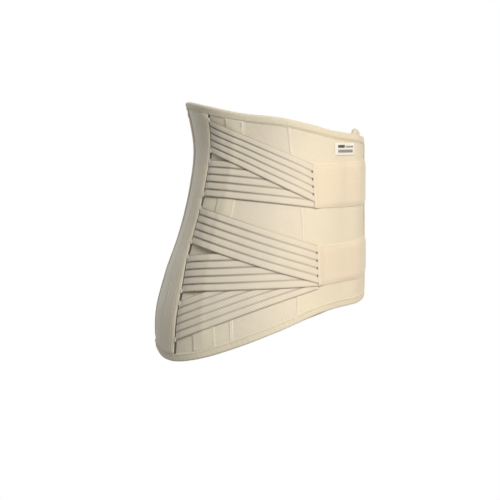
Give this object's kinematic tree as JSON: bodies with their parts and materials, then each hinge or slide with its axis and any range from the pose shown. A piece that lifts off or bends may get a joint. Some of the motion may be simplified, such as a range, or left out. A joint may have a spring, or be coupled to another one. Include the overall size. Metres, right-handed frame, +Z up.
{
  "type": "lumbar support belt",
  "caption": "Shaped elastic lumbar support belt with boned back, ribbed tension straps and overlapping front closure.",
  "frame": {"origin": "centre of the waist opening, at the belt's narrowest level", "axes": "+X to the wearer's left, -Y to the wearer's front, +Z up along the wearer's body"},
  "size_m": [0.3475, 0.2333, 0.2836],
  "materials": {
    "anchor_tape": "woven tape",
    "channel_tape": "woven tape",
    "elastic_binding": "soft elastic tape",
    "elastic_strap": "ribbed elastic webbing with darker grooves",
    "foam": "open cell foam",
    "gusset_knit": "fine stretch knit, slightly pinker",
    "hook_tape": "moulded hooks",
    "label": "woven satin label",
    "lining_knit": "smooth cotton knit",
    "loop_pile": "short looped pile",
    "panel_fabric": "soft cream brushed fabric",
    "plastic_stay": "semi-flexible plastic",
    "steel_stay": "flat spring steel, coated ends",
    "tab_webbing": "firm brushed loop fabric"
  },
  "bodies": {
    "back": {"back_lining": "lining_knit", "back_panel": "panel_fabric", "back_stay_inner_left": "steel_stay", "back_stay_inner_right": "steel_stay", "back_stay_outer_left": "steel_stay", "back_stay_outer_right": "steel_stay", "bottom_binding": "elastic_binding", "lumbar_pad": "foam", "side_front_panel_left": "panel_fabric", "side_front_panel_right": "panel_fabric", "side_gusset_left": "gusset_knit", "side_gusset_right": "gusset_knit", "side_lining_left": "lining_knit", "side_lining_right": "lining_knit", "side_panel_left": "panel_fabric", "side_panel_right": "panel_fabric", "side_stay_channel_left": "channel_tape", "side_stay_channel_right": "channel_tape", "side_stay_left": "steel_stay", "side_stay_right": "steel_stay", "stay_channel_inner_left": "channel_tape", "stay_channel_inner_right": "channel_tape", "stay_channel_outer_left": "channel_tape", "stay_channel_outer_right": "channel_tape", "strap_1_left": "elastic_strap", "strap_1_right": "elastic_strap", "strap_2_left": "elastic_strap", "strap_2_right": "elastic_strap", "strap_3_left": "elastic_strap", "strap_3_right": "elastic_strap", "strap_4_left": "elastic_strap", "strap_4_right": "elastic_strap", "strap_5_left": "elastic_strap", "strap_5_right": "elastic_strap", "strap_anchor_tape_left": "anchor_tape", "strap_anchor_tape_right": "anchor_tape", "top_binding": "elastic_binding"},
    "right_front": {"closure_hook_strip": "hook_tape", "front_edge_binding_right": "elastic_binding", "front_foam_right": "foam", "front_lining_right": "lining_knit", "front_panel_right": "panel_fabric", "front_stay_right": "plastic_stay", "woven_label": "label"},
    "left_front": {"closure_loop_panel": "loop_pile", "front_edge_binding_left": "elastic_binding", "front_foam_left": "foam", "front_lining_left": "lining_knit", "front_panel_left": "panel_fabric", "front_stay_left": "plastic_stay"},
    "left_lower_tab": {"left_lower_tab": "tab_webbing", "left_lower_tab_hook": "hook_tape"},
    "left_upper_tab": {"left_upper_tab": "tab_webbing", "left_upper_tab_hook": "hook_tape"},
    "right_lower_tab": {"right_lower_tab": "tab_webbing", "right_lower_tab_hook": "hook_tape"},
    "right_upper_tab": {"right_upper_tab": "tab_webbing", "right_upper_tab_hook": "hook_tape"}
  },
  "joints": [
    {"name": "right_front_open", "type": "hinge", "parent": "back", "child": "right_front", "pos_m": [-0.11908, -0.061, -0.07354], "axis": [-0.0507, -0.044, -0.9977], "range_deg": [0, 75]},
    {"name": "left_front_open", "type": "hinge", "parent": "back", "child": "left_front", "pos_m": [0.11908, -0.061, -0.07354], "axis": [-0.0507, 0.044, 0.9977], "range_deg": [0, 37.5]},
    {"name": "right_upper_tab_peel", "type": "hinge", "parent": "right_front", "child": "right_upper_tab", "pos_m": [-0.11585, -0.06012, -0.03826], "axis": [-0.0698, -0.0676, -0.9953], "range_deg": [0, 70]},
    {"name": "right_lower_tab_peel", "type": "hinge", "parent": "right_front", "child": "right_lower_tab", "pos_m": [-0.1207, -0.06511, -0.12249], "axis": [-0.0466, -0.0406, -0.9981], "range_deg": [0, 70]},
    {"name": "left_upper_tab_peel", "type": "hinge", "parent": "left_front", "child": "left_upper_tab", "pos_m": [0.11585, -0.06012, -0.03826], "axis": [-0.0698, 0.0676, 0.9953], "range_deg": [0, 70]},
    {"name": "left_lower_tab_peel", "type": "hinge", "parent": "left_front", "child": "left_lower_tab", "pos_m": [0.1207, -0.06511, -0.12249], "axis": [-0.0466, 0.0406, 0.9981], "range_deg": [0, 70]}
  ],
  "couplings": [
    {"joint": "left_front_open", "follows": "right_front_open", "ratio": 0.5}
  ]
}
